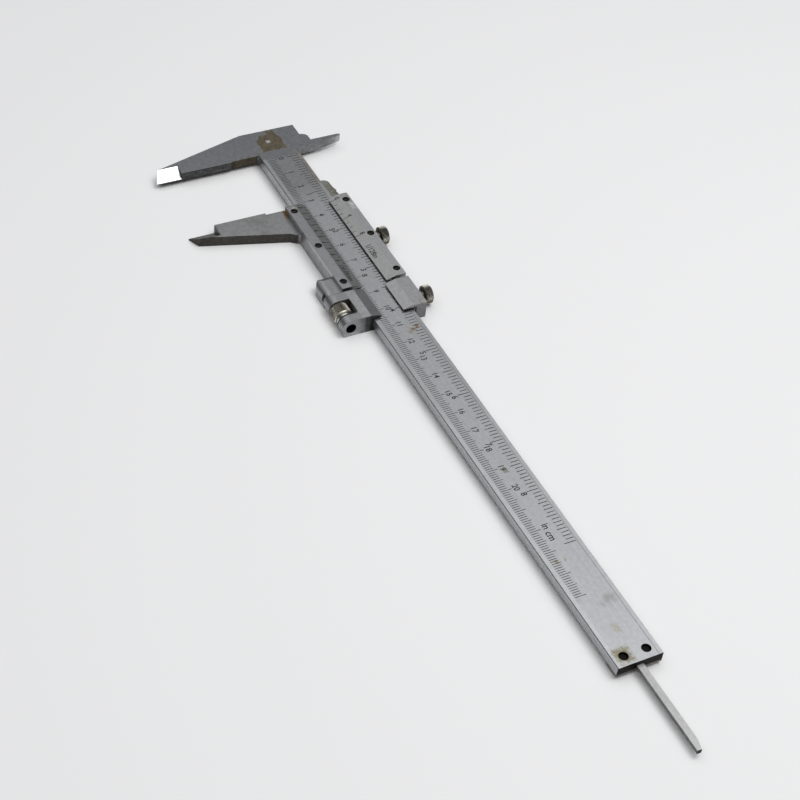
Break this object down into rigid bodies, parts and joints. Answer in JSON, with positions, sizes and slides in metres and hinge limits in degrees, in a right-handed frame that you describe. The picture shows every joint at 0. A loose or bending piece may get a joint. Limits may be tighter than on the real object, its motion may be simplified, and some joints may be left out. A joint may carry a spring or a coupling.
{
  "type": "vernier caliper",
  "caption": "Long steel vernier caliper with a knurled fine-adjustment nut, thumb screws and a depth rod; its moving inside blade is broken off.",
  "frame": {"origin": "on the beam's back face, on its centreline, in the plane of the fixed outside jaw's measuring face", "axes": "+X along the beam towards the depth rod, +Y across the beam towards the inside blade, +Z out of the graduated face"},
  "size_m": [0.3351, 0.083, 0.0075],
  "materials": {
    "beam_steel": "satin ground steel, worn and stained, with etched scales",
    "plate_steel": "satin ground steel plate with an etched vernier",
    "slider_steel": "ground steel, dulled and scratched, rust at the corners",
    "dark_screw": "blackened steel",
    "spring_steel": "blued spring steel",
    "knurled_steel": "straight-knurled steel with polished chamfers",
    "rod_steel": "drawn steel rod"
  },
  "bodies": {
    "beam": {"beam": "beam_steel", "end_plate": "plate_steel", "end_plate_screws": "dark_screw"},
    "slider": {"slider_body": "slider_steel", "inch_vernier_plate": "plate_steel", "metric_vernier_plate": "plate_steel", "inch_plate_screws": "dark_screw", "metric_plate_screws": "dark_screw", "slider_gib": "spring_steel", "gib_set_screws": "dark_screw", "fine_adjust_stud": "knurled_steel", "stud_lock_pin": "dark_screw", "depth_rod": "rod_steel", "depth_rod_pins": "dark_screw"},
    "carriage": {"carriage_body": "slider_steel", "carriage_gib": "spring_steel"},
    "nut": {"fine_adjust_nut": "knurled_steel"},
    "slider_clamp": {"slider_clamp_screw": "knurled_steel"},
    "carriage_clamp": {"carriage_clamp_screw": "knurled_steel"}
  },
  "joints": [
    {"name": "slider_travel", "type": "slide", "parent": "beam", "child": "slider", "axis": [1, 0, 0], "range_m": [-0.03475, 0.1652]},
    {"name": "fine_adjust", "type": "slide", "parent": "slider", "child": "carriage", "axis": [1, 0, 0], "range_m": [-0.0012, 0.0035]},
    {"name": "nut_turn", "type": "hinge", "parent": "carriage", "child": "nut", "pos_m": [0.1007, -0.0176, 0.00175], "axis": [1, 0, 0], "range_deg": [-865, 2521]},
    {"name": "slider_clamp_turn", "type": "hinge", "parent": "slider", "child": "slider_clamp", "pos_m": [0.063, 0.0175, 0.0018], "axis": [0, 1, 0], "range_deg": [-45, 360]},
    {"name": "carriage_clamp_turn", "type": "hinge", "parent": "carriage", "child": "carriage_clamp", "pos_m": [0.1013, 0.0175, 0.0018], "axis": [0, 1, 0], "range_deg": [-45, 360]}
  ],
  "couplings": [
    {"joint": "nut_turn", "follows": "fine_adjust", "rad_per_m": 12566}
  ]
}
